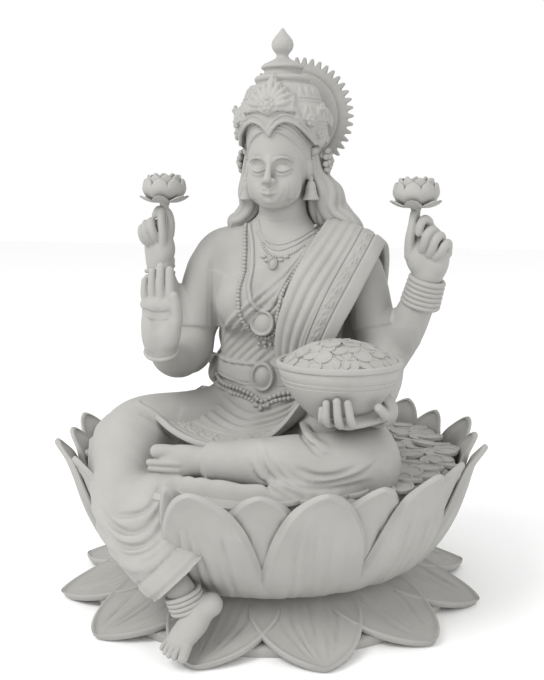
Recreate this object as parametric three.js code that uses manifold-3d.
// A four-armed goddess seated on a lotus throne: a cast statuette in two solids, the throne and the figure.
// Millimetres, +Z up, the figure faces -Y, and the origin is the centre of the throne's underside.

import * as THREE from 'three';
import Module from 'manifold-3d';
import { LoftGeometry } from 'three/addons/geometries/LoftGeometry.js';
import { mergeVertices } from 'three/addons/utils/BufferGeometryUtils.js';

const wasm = await Module();
wasm.setup();

// Driving dimensions of the throne
const seatHeight = 62;
const footRadius = 80;
const footHeight = 4;
const petalCount = 12;
const lowerRootRadius = 52;
const lowerRootHeight = 17;
const lowerTipRadius = 97.5;
const lowerTipHeight = 0.4;
const lowerPetalWidth = 40;
const bowlFootRadius = 60;
const bowlFootHeight = 11;
const bowlBellyRadius = 90;
const tipRadius = 96;
const tipHeight = 73.5;
const upperPetalWidth = 37;
const innerPetalInset = 6.5;
const innerPetalDrop = 2;
const innerPetalWidth = 27;
const petalThickness = 3.2;
const coinRadius = 6.2;
const coinThickness = 1.8;

// Driving dimensions of the figure
const figureHeight = 188;
const bowlRadius = 24.8;
const bowlDepth = 24;
const haloRadius = 27.4;
const haloTeeth = 40;
const haloThickness = 2.6;
const flowerRadius = 11.6;
const flowerHeight = 12.5;
const beadedDiscRadius = 4.4;
const beltDiscRadius = 5.3;

// The gap that the two castings keep where they touch
const seatGap = 0.3;

// The figure's pose and carving are shares of its height: they are written in units of which it is 188 high
// above the seat.
const unit = figureHeight / 188;

// The hanging leg is written for a throne whose seat is 62 high and whose tips reach 96 from the axis.
const spread = tipRadius / 96;
const rise = seatHeight / 62;
const at = (x, y, z) => new THREE.Vector3(x * unit, y * unit, seatHeight + z * unit);
const hang = (x, y, z) => new THREE.Vector3(x * spread, y * spread, z * rise);

const degrees = Math.PI / 180;

// Solids
function solid(geometry) {
  const bare = new THREE.BufferGeometry();
  bare.setAttribute('position', geometry.attributes.position);
  bare.setIndex(geometry.index);
  const merged = mergeVertices(bare, 1e-4);
  const vertProperties = new Float32Array(merged.attributes.position.array);
  const triVerts = new Uint32Array(merged.index.array);
  return new wasm.Manifold(new wasm.Mesh({ numProp: 3, vertProperties, triVerts }));
}

function join(solids) {
  return solids.reduce((whole, next) => whole.add(next));
}

function meshOf(manifold, name, material) {
  const { vertProperties, triVerts } = manifold.getMesh();
  const geometry = new THREE.BufferGeometry();
  geometry.setAttribute('position', new THREE.BufferAttribute(new Float32Array(vertProperties), 3));
  geometry.setIndex(new THREE.BufferAttribute(new Uint32Array(triVerts), 1));
  const mesh = new THREE.Mesh(geometry, material);
  mesh.name = name;
  return mesh;
}

// A limb is a smooth path with an oval section. Each key is a place, a half-width and a half-depth.
class Limb {
  constructor(keys, across = [1, 0, 0], grow = 0) {
    this.path = new THREE.CatmullRomCurve3(keys.map((key) => key[0]), false, 'centripetal');
    const sizes = keys.map((key) => new THREE.Vector3(key[1] + grow, key[2] + grow, 0));
    this.sizes = new THREE.CatmullRomCurve3(sizes, false, 'centripetal');
    this.across = new THREE.Vector3(...across);
  }

  frame(t) {
    const along = this.path.getTangent(t);
    const side = this.across.clone().addScaledVector(along, -this.across.dot(along)).normalize();
    const up = along.clone().cross(side);
    const size = this.sizes.getPoint(t);
    return { centre: this.path.getPoint(t), along, side, up, wide: size.x, deep: size.y };
  }

  // The point at an angle around the section: 0 is the side vector, 90 the way up from it.
  point(t, angle, lift = 0) {
    const { centre, side, up, wide, deep } = this.frame(t);
    return centre.addScaledVector(side, (wide + lift) * Math.cos(angle * degrees))
      .addScaledVector(up, (deep + lift) * Math.sin(angle * degrees));
  }

  solid({ steps = 6, sides = 12, domes = [1, 1], carve = () => 0, moved = new THREE.Vector3() } = {}) {
    const rings = [];
    const ring = (t, shrink, shift) => {
      const { centre, along, side, up, wide, deep } = this.frame(t);
      centre.addScaledVector(along, shift).add(moved);
      rings.push(Array.from({ length: sides }, (_, index) => {
        const angle = (index / sides) * 360;
        const lift = carve(t, angle);
        return centre.clone()
          .addScaledVector(side, (wide + lift) * shrink * Math.cos(angle * degrees))
          .addScaledVector(up, (deep + lift) * shrink * Math.sin(angle * degrees));
      }));
    };
    const dome = (t, length, turns) => turns.forEach((turn) => {
      ring(t, Math.cos(turn * degrees), length * Math.sin(turn * degrees));
    });
    const first = this.frame(0);
    const last = this.frame(1);
    if (domes[0] > 0) dome(0, -domes[0] * Math.min(first.wide, first.deep), [55]);
    for (let step = 0; step <= steps; step += 1) ring(step / steps, 1, 0);
    if (domes[1] > 0) dome(1, domes[1] * Math.min(last.wide, last.deep), [55]);
    return solid(new LoftGeometry(rings, { closed: true, capStart: true, capEnd: true }));
  }
}

const key = (x, y, z, wide, deep) => [at(x, y, z), wide * unit, deep * unit];
const hangKey = (x, y, z, wide, deep) => [hang(x, y, z), wide * unit, deep * unit];

// A row of rounded folds: how far the cloth stands out at a place along the row, between 0 and 1
const pleat = (place) => Math.abs(Math.sin(place * Math.PI));

function lathe(profile, centre, sides) {
  const points = profile.map(([radius, height]) => new THREE.Vector2(radius, height));
  const geometry = new THREE.LatheGeometry(points, sides);
  geometry.rotateX(Math.PI / 2);
  geometry.translate(centre.x, centre.y, centre.z);
  return solid(geometry);
}

function ball(centre, wide, deep, high, sides = 12) {
  const geometry = new THREE.SphereGeometry(1, sides, Math.round(sides * 0.6));
  geometry.rotateX(Math.PI / 2);
  geometry.scale(wide, deep, high);
  geometry.translate(centre.x, centre.y, centre.z);
  return solid(geometry);
}

// A flat round piece, such as a coin or a medallion, facing along its normal.
function disc(centre, radius, thickness, normal, sides = 9) {
  const geometry = new THREE.CylinderGeometry(radius, radius, thickness, sides);
  geometry.applyQuaternion(new THREE.Quaternion().setFromUnitVectors(
    new THREE.Vector3(0, 1, 0), normal.clone().normalize()));
  geometry.translate(centre.x, centre.y, centre.z);
  return solid(geometry);
}

// A leaf or sepal: a cupped blade whose spine gives a radius and a height around an axis.
function leaf({ spine, halfWidth, thickness, cup, stations, turn, centre }) {
  const across = new THREE.Vector3(Math.cos(turn * degrees), Math.sin(turn * degrees), 0);
  const outward = new THREE.Vector3(across.y, -across.x, 0);
  const rows = Array.from({ length: stations + 1 }, (_, index) => {
    const s = index / stations;
    const [radius, height] = spine(s);
    const half = halfWidth(s);
    const place = (side, inward) => centre.clone()
      .addScaledVector(across, side * half)
      .addScaledVector(outward, radius - inward - cup * half * side * side)
      .add(new THREE.Vector3(0, 0, height + inward * 0.4));
    return [
      place(-1, 0), place(0, 0), place(1, 0), place(1, thickness), place(0, thickness), place(-1, thickness),
    ];
  });
  return solid(new LoftGeometry(rows, { closed: true, capStart: true, capEnd: true }));
}

// The outline of a leaf or petal: 1 at its widest, and nearly 0 at its tip.
function petalOutline(s) {
  if (s < 0.5) return 0.8 + 0.2 * Math.sin(s * Math.PI);
  return Math.max((1 - ((s - 0.5) / 0.5) ** 2) ** 0.6, 0.04);
}

// Lotus throne: one skin swept round the axis, whose reach at each turn is the outline of the petals there
const throneAxis = new THREE.Vector3(0, 0, 0);
const bedRadius = bowlBellyRadius - 8;
const pitch = 360 / petalCount;

// The hanging leg takes the place of the tall petal at this turn.
const legTurn = -30;

function bowlRadiusAt(share) {
  const belly = Math.sqrt(1 - (1 - share) ** 2);
  const flare = (tipRadius - bowlBellyRadius) * share ** 3;
  return bowlFootRadius + (bowlBellyRadius - bowlFootRadius) * belly + flare;
}

const lowerRadiusAt = (share) => lowerRootRadius + (lowerTipRadius - lowerRootRadius) * share;

// How far up a petal its outline still covers a direction this many degrees from its middle
function reach(radiusAt, width, offset, least) {
  const lateral = Math.abs(Math.sin(offset * degrees));
  for (let share = 1; share > least; share -= 0.01) {
    if ((width / 2) * petalOutline(share) >= radiusAt(share) * lateral) return share;
  }
  return least;
}

function throneProfile(turn) {
  const offset = turn - pitch * Math.round(turn / pitch);
  const gapOffset = pitch / 2 - Math.abs(offset);
  const atLeg = Math.abs(turn - legTurn) < pitch * 0.45 || Math.abs(turn - legTurn - 360) < pitch * 0.45;
  const lower = reach(lowerRadiusAt, lowerPetalWidth, offset, 0.5);
  const lip = Math.max(lowerRadiusAt(lower), footRadius - 2);
  const tall = atLeg ? 0.3 : reach(bowlRadiusAt, upperPetalWidth, offset, 0.12);
  const short = atLeg ? 0.3 : Math.max(reach(bowlRadiusAt, innerPetalWidth, gapOffset, 0.12), tall);
  const bowlHeightAt = (share) => bowlFootHeight + (tipHeight - bowlFootHeight) * share;
  const behind = (innerPetalInset * Math.max(short - tall, 0)) / (1 - tall + 0.01);
  const crease = 0.8 * Math.cos(offset * 48 * degrees);
  const lipHeight = lowerTipHeight + 7 * (1 - lower);
  const rim = Math.max(bowlHeightAt(short) - innerPetalDrop * Math.min(short - tall, 1), seatHeight + 1);
  const bowl = [0.35, 0.8, 1].map((part) => {
    const share = tall * part;
    return [bowlRadiusAt(share) + (part < 1 ? crease * part : 0), bowlHeightAt(share)];
  });
  return [
    [footRadius, 0],
    [footRadius, footHeight],
    [lip - 1, lipHeight],
    [lip, lipHeight + 1.8],
    [lip - 5, lipHeight + 3],
    [(lip + lowerRootRadius + 14) / 2 - 2, lowerRootHeight - 7 - crease * 0.4],
    ...bowl,
    [bowlRadiusAt((tall + short) / 2) - behind - 0.5, bowlHeightAt((tall + short) / 2) + 0.3],
    [bowlRadiusAt(short) - behind - 1, rim + 0.6],
    [bowlRadiusAt(short) - behind - petalThickness, rim],
    [bedRadius, seatHeight - 1],
    [bedRadius - 3, seatHeight],
  ];
}

function lotusThrone() {
  const turns = [];
  for (let index = 0; index < petalCount; index += 1) {
    [-0.5, -0.36, -0.23, 0, 0.23, 0.36].forEach((step) => turns.push((index + step) * pitch));
  }
  const profiles = turns.map(throneProfile);
  const rings = profiles[0].map((_, level) => turns.map((turn, index) => {
    const [radius, height] = profiles[index][level];
    return new THREE.Vector3(radius * Math.sin(turn * degrees), -radius * Math.cos(turn * degrees), height);
  }));
  const shell = solid(new LoftGeometry(rings, { closed: true, capStart: true, capEnd: true }));
  return join([shell, ...coinBed()]);
}

// Coins lie in a ring on the bed, each one tilted on its neighbour.
function coinBed() {
  const count = 8;
  return Array.from({ length: count }, (_, index) => {
    const angle = ((index + 0.5) * 360) / count * degrees;
    const radius = bedRadius - coinRadius * (1.2 + 0.9 * (index % 2));
    const centre = new THREE.Vector3(
      radius * Math.cos(angle), radius * Math.sin(angle), seatHeight + coinThickness * 0.3);
    const normal = new THREE.Vector3(0.25 * Math.sin(index * 2.4), 0.25 * Math.cos(index * 1.7), 1);
    return disc(centre, coinRadius, coinThickness * 1.6, normal, 6);
  });
}

// The hips, thighs and shins, which the throne is cut to fit
function legLimbs(grow) {
  const upright = [0.3, 0.2, 1];
  return {
    leftThigh: new Limb([
      key(15, 4, 15, 17, 19),
      key(34, -16, 14, 16.5, 17),
      key(49, -37, 6, 15, 15),
    ], upright, grow),
    leftShin: new Limb([
      key(50, -39, 5, 15, 15),
      key(38, -52, 8, 13.5, 13),
      key(22, -59, 9.5, 11.5, 10.5),
      key(8, -62, 10, 9.5, 9),
      key(-8, -62, 9, 7.4, 6.5),
    ], upright, grow),
    rightThigh: new Limb([
      key(-12, 4, 15, 17, 19),
      key(-34, -16, 14, 16.5, 17),
      key(-53, -40, 10, 16.5, 16.5),
    ], upright, grow),
    rightShin: new Limb([
      key(-53, -42, 9, 16.5, 16),
      hangKey(-47.5, -59, 57, 13.5, 14),
      hangKey(-37, -69.5, 45, 12.2, 12.5),
      hangKey(-27, -77, 35, 11, 11),
      hangKey(-15, -82, 27, 8.6, 8.4),
      hangKey(-6, -84, 21, 6.2, 6),
    ], [1, 0.4, 0.3], grow),
    rightFoot: new Limb([
      hangKey(0.5, -80.5, 18.5, 5.4, 5.4),
      hangKey(-1, -87, 14.6, 6.2, 5.2),
      hangKey(-3, -93, 10.6, 7.4, 4),
      hangKey(-3.5, -97.5, 8, 7.4, 2.8),
    ], [1, 0, 0], grow),
    lap: new Limb([
      key(2, 0, 12, 27, 15),
      key(1, -26, 12, 26, 11),
      key(-4, -46, 8, 24, 9),
    ], [1, 0, 0], grow),
  };
}

// The skirt's folds hang as a row of loops round the lower legs, deepest in front.
const frontness = (angle, middle) => Math.max(Math.cos((angle - middle) * degrees), 0);

const legDetail = {
  leftThigh: { steps: 2, sides: 9 },
  leftShin: {
    steps: 8,
    sides: 8,
    carve: (t, angle) => {
      const folds = pleat(t * 4 + 0.4 * frontness(angle, 330));
      return t < 0.7 ? 2 * unit * frontness(angle, 270) * folds : 0;
    },
  },
  rightThigh: { steps: 2, sides: 9 },
  rightShin: {
    steps: 12,
    sides: 8,
    carve: (t, angle) => 2.2 * unit * frontness(angle, 90) * pleat(t * 6 - 0.6 * frontness(angle, 90)),
  },
  rightFoot: { steps: 3, sides: 8 },
  lap: { steps: 2, sides: 9, domes: [0, 1] },
};

function legSolids(grow) {
  return Object.entries(legLimbs(grow)).map(([name, limb]) => limb.solid(legDetail[name]));
}

// The skirt's bordered end: a thin panel that hangs beside the shin down to a corner at the ankle
const hemPanel = (grow) => new Limb([
  hangKey(-55, -58, 51, 9, 6.5),
  hangKey(-46, -69.6, 41, 8.4, 3.4),
  hangKey(-33, -79.5, 32.5, 8.5, 2.2),
  hangKey(-18, -86.5, 25.5, 3, 1.8),
], [0.4, 0.2, 1], grow);

function feet(grow) {
  const left = new Limb([
    key(-6, -62.5, 9, 7, 6),
    key(-15, -63.5, 8.6, 7.8, 5.4),
    key(-27, -64, 7.6, 8, 4),
  ], [0, 0, 1], grow).solid({ steps: 2, sides: 8 });
  return [
    left,
    digitRow([key(-27.6, -64, 1.8, 3.8, 2.4), key(-29.6, -64.6, 13, 4.2, 3)], 5, [1, 0, 0], grow),
    digitRow([hangKey(-9.5, -95, 7.4, 3.4, 2.4), hangKey(2.6, -97, 7.8, 4, 2.8)], 5, [0, 1, 0], grow),
  ];
}

// The lower body: all that meets the throne
const lowerBody = (grow) => [...legSolids(grow), hemPanel(grow).solid({ steps: 4, sides: 6 }), ...feet(grow)];

// Room for it in the throne. It runs on outwards from the hanging leg, so no petal is left in front of that.
function legRoom() {
  const outwards = new THREE.Vector3(Math.sin(legTurn * degrees), -Math.cos(legTurn * degrees), 0);
  const slack = seatGap + unit;
  const { rightThigh, rightShin } = legLimbs(slack);
  const limbs = [rightThigh, rightShin, hemPanel(slack)];
  const beyond = [10, 22].flatMap((step) => limbs.map((limb) => limb.solid({
    steps: 5,
    sides: 7,
    moved: outwards.clone().multiplyScalar(step * unit),
  })));
  return join([...lowerBody(seatGap), ...beyond]);
}

// Torso, neck and head
const torso = new Limb([
  key(2, 3, -1, 35, 27),
  key(1.5, 4, 12, 34, 24),
  key(1, 5, 26, 29.5, 19),
  key(0.5, 6, 44, 26.3, 16.5),
  key(1, 7, 57, 27.2, 17),
  key(1.5, 8, 70, 30, 18),
  key(2, 9, 84, 32, 16),
  key(2, 9.5, 94, 29, 13),
  key(2, 9.5, 101, 18, 11.5),
  key(2.2, 9.5, 107, 11.6, 10.6),
  key(2.3, 9, 122, 10.2, 10),
]);

// Folds cross the body from the left shoulder down to the right side of the waist, between belt and collar.
function bodyRelief(t, angle) {
  const bust = Math.exp(-(((t - 0.6) / 0.07) ** 2))
    * (Math.exp(-(((angle - 242) / 22) ** 2)) + Math.exp(-(((angle - 298) / 22) ** 2)));
  const belt = Math.abs(t - 0.3) < 0.02 ? 2 : 0;
  const collar = Math.abs(t - 0.8) < 0.02 ? 1.5 * frontness(angle, 270) : 0;
  const crossing = t > 0.34 && t < 0.7 ? 1.5 * frontness(angle, 270) * pleat(t * 12 + (angle - 270) / 50) : 0;
  return (6 * bust + belt + collar + crossing) * unit;
}

const body = () => torso.solid({ steps: 15, sides: 12, domes: [0, 0], carve: bodyRelief });

// The face: nose, eye hollows, lips and chin raised or sunk on the front of the head
function faceRelief(t, angle) {
  const side = Math.abs(angle - 270);
  const bump = (level, high, turn, wide, lift) => lift * unit
    * Math.exp(-(((t - level) / high) ** 2)) * Math.exp(-(((side - turn) / wide) ** 2));
  const nose = side < 9 && t > 0.39 ? 3 * unit * Math.max((0.72 - t) / 0.32, 0) : 0;
  return nose + bump(0.6, 0.05, 27, 12, -1.1) + bump(0.2, 0.06, 0, 24, 0.9) + bump(0, 0.08, 0, 20, 0.8)
    + bump(0.45, 0.12, 45, 18, 0.9);
}

function head() {
  return new Limb([
    key(2.3, -4, 113.2, 5.4, 5),
    key(2.3, -1.4, 116.5, 9.2, 9.2),
    key(2.3, 1.4, 120.5, 11.8, 12),
    key(2.3, 3.2, 127, 13.4, 14.6),
    key(2.3, 4.6, 135, 14.2, 16.4),
    key(2.3, 6, 144, 13.5, 16.5),
  ]).solid({ steps: 8, sides: 16, domes: [0.6, 0], carve: faceRelief });
}

// Crown with its rows of leaves, its rings and its bud
function crown() {
  const leaves = 12;
  const rows = [
    [16.6, 133, 0], [20.6, 142, 0], [21.6, 149, 0], [21.4, 153.5, 2.6], [17.6, 155.5, 0], [16, 163, 0],
    [12.4, 165, 0], [12.2, 166.6, 0], [6.8, 168.6, 0], [9.8, 170.4, 0], [9.8, 171.6, 0], [2.8, 174.4, 0],
    [4.9, 180.6, 0], [3.7, 184, 0], [0.6, 188, 0],
  ];
  const rings = rows.map(([radius, height, lift]) => Array.from({ length: leaves }, (_, index) => {
    const angle = (index / leaves) * 2 * Math.PI;
    const tall = index % 2 ? lift : -lift;
    return at(2.3 + radius * Math.cos(angle), 8 + radius * Math.sin(angle), height + tall);
  }));
  const plaque = leaf({
    spine: (s) => [(20.6 + 2.4 * Math.sin(s * Math.PI)) * unit, 19 * s * unit],
    halfWidth: (s) => 7.5 * unit * petalOutline(s),
    thickness: 4 * unit,
    cup: 0.15,
    stations: 4,
    turn: 0,
    centre: at(2.3, 8, 143),
  });
  const band = new Limb([
    key(-14, 5, 134, 3, 3),
    key(-11.4, -4, 141, 2.4, 2.4),
    key(-5, -11, 144, 2.2, 2.2),
    key(2.3, -12.6, 140.4, 2.2, 2.2),
    key(9.6, -11, 144, 2.2, 2.2),
    key(16, -4, 141, 2.4, 2.4),
    key(18.6, 5, 134, 3, 3),
  ], [0, 0, 1]).solid({ steps: 8, sides: 5, domes: [0, 0] });
  const tiers = solid(new LoftGeometry(rings, { closed: true, capStart: true, capEnd: true }));
  return [tiers, plaque, band, ...earJewels()];
}

function earJewels() {
  return [-1, 1].flatMap((side) => [
    ball(at(2.3 + side * 16.4, 5, 136), 4 * unit, 5 * unit, 10.5 * unit, 6),
    lathe([[0, 0], [4.5, 0.4], [2.6, 5], [1.4, 8], [1.4, 15], [0, 16]].map(
      ([radius, height]) => [radius * unit, height * unit]), at(2.9 + side * 14.2, 3.6, 112.6), 7),
  ]);
}

function halo() {
  const shape = new THREE.Shape();
  const rootRadius = haloRadius * 0.89;
  for (let index = 0; index < haloTeeth * 2; index += 1) {
    const angle = (index / (haloTeeth * 2)) * 2 * Math.PI;
    const radius = index % 2 ? haloRadius : rootRadius;
    const point = [radius * Math.cos(angle), radius * Math.sin(angle)];
    if (index === 0) shape.moveTo(...point);
    else shape.lineTo(...point);
  }
  shape.closePath();
  const geometry = new THREE.ExtrudeGeometry(shape, { depth: haloThickness, bevelEnabled: false });
  geometry.rotateX(Math.PI / 2);
  const centre = at(1.9, 31, 151.8);
  geometry.translate(centre.x, centre.y, centre.z);
  const step = disc(centre.clone().add(new THREE.Vector3(0, -haloThickness, 0)), haloRadius * 0.8,
    haloThickness, new THREE.Vector3(0, -1, 0), 18);
  return [solid(geometry), step];
}

function hair() {
  const lock = (t, angle) => 1.2 * unit * Math.cos(angle * 6 * degrees);
  const back = new Limb([
    key(2.3, 17, 137, 16, 8),
    key(2.3, 21, 122, 19, 9),
    key(2.3, 23, 104, 23, 8),
    key(2, 25, 85, 25, 7),
    key(1, 24, 62, 26, 7),
    key(0, 22.5, 44, 27.5, 7),
    key(0, 21, 35, 24, 6),
  ]).solid({ steps: 4, sides: 12, domes: [0, 1], carve: lock });
  const left = [
    key(16, 10, 130, 4.5, 6),
    key(19.5, 13, 116, 5.5, 6.5),
    key(27, 15, 107, 7, 6),
    key(35, 16, 101.5, 4, 4),
  ];
  const right = [
    key(-12, 10, 130, 4.5, 6),
    key(-14, 13, 117, 5, 6.5),
    key(-17.5, 15, 108, 5.5, 6),
    key(-21, 15, 102, 3.6, 4),
  ];
  const shoulders = [left, right].map((keys) => new Limb(keys).solid({ steps: 3, sides: 5, domes: [0, 1] }));
  return [back, ...shoulders];
}

// Arms: on each side an upper arm ends in two forearms, one to a raised rear hand and one to a front hand.
function arms() {
  const rightFront = new Limb([
    key(-19, 9.5, 95, 8, 8),
    key(-28, 9, 90, 9.6, 10),
    key(-34.5, 6.5, 76, 8.4, 9.2),
    key(-36.5, 3, 60, 8.6, 9.4),
    key(-39, -3, 43, 9, 9.4),
    key(-38.5, -18, 44, 8.2, 8.2),
    key(-36.5, -33, 49, 6.6, 6.6),
    key(-34.4, -43, 55, 5.8, 5),
    key(-32.4, -46.5, 63, 8.4, 4.2),
    key(-31.4, -47.4, 73, 8, 3.2),
  ]).solid({ steps: 11, sides: 7, domes: [0, 0.3] });
  const rightRear = new Limb([
    key(-41, 1, 42, 8.2, 8.4),
    key(-46, -2, 55, 8, 8),
    key(-49.5, -5.5, 70, 6.6, 6.6),
    key(-51, -8, 81, 5.2, 4.6),
    key(-49.8, -8.5, 89, 6.6, 4.8),
    key(-49.2, -9, 101, 5.2, 3.8),
  ]).solid({ steps: 5, sides: 7 });
  const leftFront = new Limb([
    key(24, 9.5, 95, 8, 8),
    key(33, 9.5, 90, 9.6, 10),
    key(39, 9, 78, 8.8, 9.4),
    key(43.5, 8, 62, 8.8, 9.2),
    key(50, 6, 45, 9, 9),
    key(52.5, -10, 35, 7.4, 7.4),
    key(53.5, -26, 31, 6.2, 6),
    key(54.5, -38, 29.5, 5.6, 4.6),
  ], [0.5, 0.5, 0.5]).solid({ steps: 7, sides: 7, domes: [0, 0.3] });
  const leftRear = new Limb([
    key(50, 7, 45.5, 8.6, 8.6),
    key(57.5, 4, 54, 8.4, 8.4),
    key(64.5, 1, 67, 7.4, 7.4),
    key(68.4, -2, 79, 5.6, 4.8),
    key(70, -2.5, 88, 7.6, 5),
    key(71.8, -3.4, 100, 6.2, 3.8),
  ]).solid({ steps: 5, sides: 7 });
  return [rightFront, rightRear, leftFront, leftRear];
}

// A finger or thumb: its radius, then the places of its joints
function fingers(paths) {
  return paths.map(([radius, ...points]) => new Limb(
    points.map(([x, y, z]) => key(x, y, z, radius, radius))).solid({ steps: 2, sides: 4 }));
}

// A row of fingers or toes side by side: a bar across the hand or foot, waisted between them
function digitRow(keys, count, across = [1, 0, 0], grow = 0) {
  return new Limb(keys, across, grow).solid({
    steps: count * 2,
    sides: 5,
    carve: (t) => -unit * (1 - pleat(t * count)),
  });
}

function hands() {
  const palm = new Limb([
    key(56.5, -38, 29.5, 5.2, 4.4), key(51, -46, 26.5, 4.2, 8), key(43, -58, 26.5, 3, 7.8),
  ], [0, 0, 1]).solid({ steps: 3, sides: 7 });
  return [
    palm,
    ...fingers([
      [2.5, [-26, -45.5, 61], [-23.4, -47, 68.5], [-23, -47.6, 76]],
      [2, [-51.5, -10, 100], [-51.6, -10.8, 105], [-49.6, -10.4, 109.4]],
      [2.4, [-46.4, -10, 94], [-45.6, -11, 102], [-47.6, -10.6, 109]],
      [2.2, [70, -5, 102], [69, -7.4, 105.4], [67.4, -6.6, 106.6]],
      [2.4, [65.4, -4, 91], [63.8, -5, 100], [64.2, -4.6, 107.6]],
      [2.5, [56.6, -42, 30], [58.4, -49, 32], [58.4, -54, 37]],
    ]),
    digitRow([key(-54, -12.4, 91.6, 3.4, 3.4), key(-53.6, -13, 103.6, 3.4, 3.4)], 3),
    digitRow([key(76.4, -6.6, 91.6, 3.6, 3.6), key(72.4, -7.4, 103, 3.6, 3.6)], 3),
    digitRow([key(-38.4, -48.8, 77, 7, 2.3), key(-24, -48.8, 78, 7.6, 2.3)], 4, [0, 0, 1]),
    digitRow([key(35.4, -62, 32, 2.4, 4.6), key(51, -62.5, 32, 2.4, 4.6)], 4, [0, 1, 0]),
  ];
}

function bangles() {
  return new Limb([key(65, 0.8, 68.4, 7.8, 7.8), key(69.4, -2.4, 81, 6.2, 6.2)])
    .solid({ steps: 10, sides: 6, domes: [0, 0], carve: (t) => 1.1 * unit * pleat(t * 5) });
}

// Flowers held in the rear hands: one skin for the stem, the star of sepals and the cup of petals
function flower(x, y, z) {
  const centre = at(x, y, z);
  const radius = flowerRadius * unit;
  const tall = flowerHeight * unit;
  const petals = 7;
  const rows = [
    [0.16, -1, 0, 0],
    [0.16, -0.06, 0, 0],
    [0.74, 0.14, 0.26, 0.1],
    [0.73, 0.22, 0.26, 0.1],
    [0.55, 0.2, 0, 0],
    [0.83, 0.5, 0.03, 0],
    [0.66, 0.84, 0.05, 0.06],
    [0.2, 0.97, 0, 0],
  ];
  const rings = rows.map(([share, level, ripple, lift]) => Array.from({ length: petals * 2 }, (_, index) => {
    const angle = (index / petals) * Math.PI;
    const way = index % 2 ? -1 : 1;
    const reachOut = (share + ripple * way) * radius;
    const height = (level + lift * way) * tall;
    return new THREE.Vector3(reachOut * Math.cos(angle), reachOut * Math.sin(angle), height).add(centre);
  }));
  return solid(new LoftGeometry(rings, { closed: true, capStart: true, capEnd: true }));
}

// Bowl heaped with coins
function coinBowl() {
  const centre = at(42.5, -45, 26.7);
  const radius = bowlRadius * unit;
  const deep = bowlDepth * unit;
  const profile = [[0, 0], [0.42, 0], [0.7, 0.16], [0.89, 0.46], [0.955, 0.74], [0.94, 0.78],
    [1, 0.9], [1, 0.99], [0.9, 1.04], [0.5, 1.28], [0, 1.36]]
    .map(([share, level]) => [share * radius, level * deep]);
  const count = 4;
  const coins = Array.from({ length: count }, (_, index) => {
    const angle = (index * 2 * Math.PI) / count;
    const share = 0.56;
    const place = new THREE.Vector3(share * radius * Math.cos(angle), share * radius * Math.sin(angle),
      deep * (1.37 - 0.42 * share * share)).add(centre);
    return disc(place, 0.26 * radius, 0.08 * radius,
      new THREE.Vector3(0.35 * Math.cos(angle + index), 0.35 * Math.sin(angle), 1), 6);
  });
  return [lathe(profile, centre, 14), ...coins];
}

// Cloth over the left shoulder, pleated lengthwise
function shoulderCloth() {
  return new Limb([
    key(34, 20, 46, 11, 3.4),
    key(33, 23, 70, 13, 3.4),
    key(33, 19, 88, 14, 3.4),
    key(33.5, 8.5, 97.5, 15, 3.4),
    key(28, -5, 89, 13.5, 3.6),
    key(21, -13.5, 72, 12, 3.8),
    key(15, -13.5, 56, 10.5, 3.6),
    key(11, -12, 42, 9, 3.4),
  ]).solid({
    steps: 7,
    sides: 10,
    domes: [0, 0.5],
    carve: (t, angle) => 0.9 * unit * Math.cos(angle * 5 * degrees),
  });
}

function jewels() {
  const front = new THREE.Vector3(0, -1, 0.1);
  return [
    disc(at(1.2, -13.8, 61.4), beadedDiscRadius * unit, 9 * unit, front, 8),
    disc(at(1.4, -15.4, 37), beltDiscRadius * unit, 8 * unit, front, 8),
  ];
}

function figure() {
  const whole = join([
    ...lowerBody(0), body(), head(), ...crown(), ...halo(), ...hair(), ...arms(),
    ...hands(), bangles(), ...coinBowl(), shoulderCloth(), ...jewels(),
    flower(-47.2, -10, 112), flower(64.6, -4, 110),
  ]);
  const seatRadius = bedRadius - 8;
  const seatTop = seatHeight + seatGap;
  const room = [[0, 0], [seatRadius, 0], [seatRadius, seatTop], [0, seatTop]];
  return whole.subtract(lathe(room, throneAxis, 24));
}

const throneSolid = lotusThrone().subtract(legRoom());

const stoneGrey = { color: 0xb8b6b2, roughness: 0.85, metalness: 0 };
const group = new THREE.Group();
group.add(meshOf(throneSolid, 'lotus_throne', new THREE.MeshStandardMaterial(stoneGrey)));
group.add(meshOf(figure(), 'figure', new THREE.MeshStandardMaterial(stoneGrey)));

export default group;
